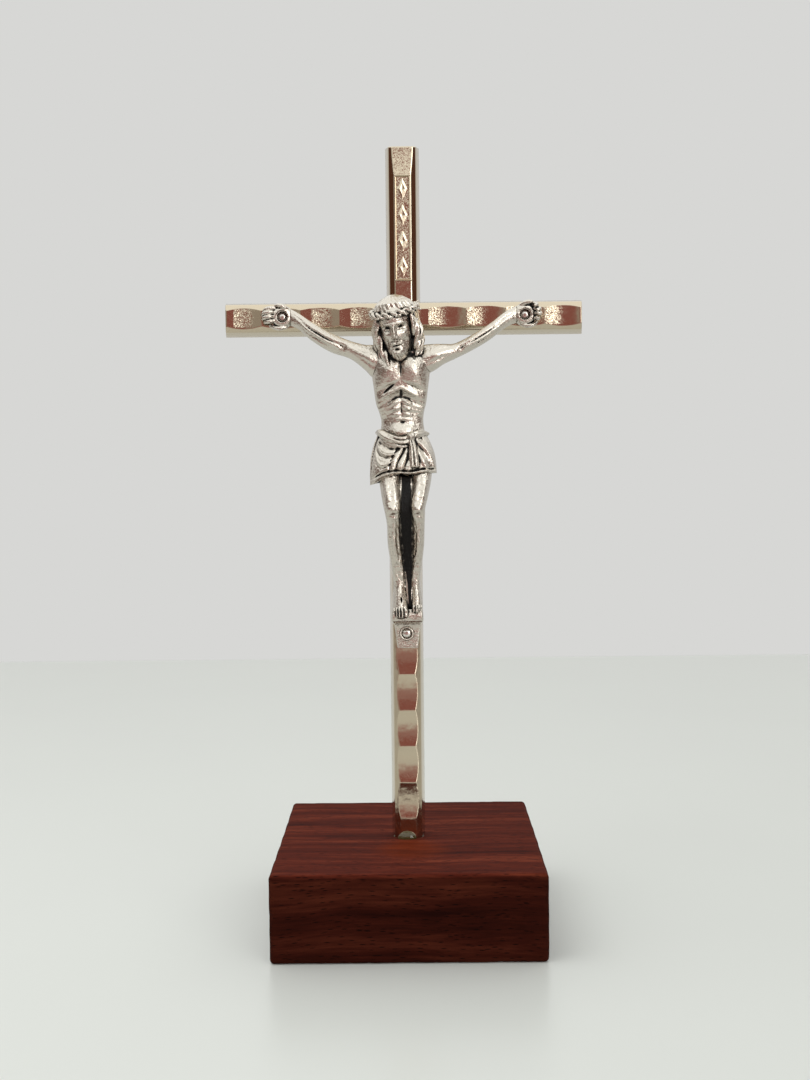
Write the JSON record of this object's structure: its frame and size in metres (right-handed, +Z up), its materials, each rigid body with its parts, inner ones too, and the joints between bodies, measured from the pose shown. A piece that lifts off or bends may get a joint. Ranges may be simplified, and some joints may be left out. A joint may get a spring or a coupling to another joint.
{
  "type": "standing crucifix",
  "caption": "Small standing crucifix: a cast metal figure riveted to a plated cast cross with scalloped bars, which is glued upright into a square wooden block.",
  "frame": {"origin": "middle of the wooden block's underside", "axes": "+Z up along the post, +X along the beam towards the figure's left hand, and the figure faces -Y"},
  "size_m": [0.062, 0.045, 0.1344],
  "materials": {
    "stained_wood": "dark red-brown stain under satin lacquer, straight grain along X",
    "nickel_plating": "bright warm nickel plating over die-cast zinc, with lightly stippled patches in the scallops",
    "antique_silver": "antique silver plating over die-cast zinc, dark patina in the recesses, bright high points",
    "rivet_metal": "plain bright round heads",
    "clear_glue": "clear hard glue, slightly amber, glossy"
  },
  "bodies": {
    "root": {"base_block": "stained_wood", "cross": "nickel_plating", "corpus": "antique_silver", "left_hand_rivet": "rivet_metal", "right_hand_rivet": "rivet_metal", "foot_rivet": "rivet_metal", "glue_bead": "clear_glue"}
  },
  "joints": []
}
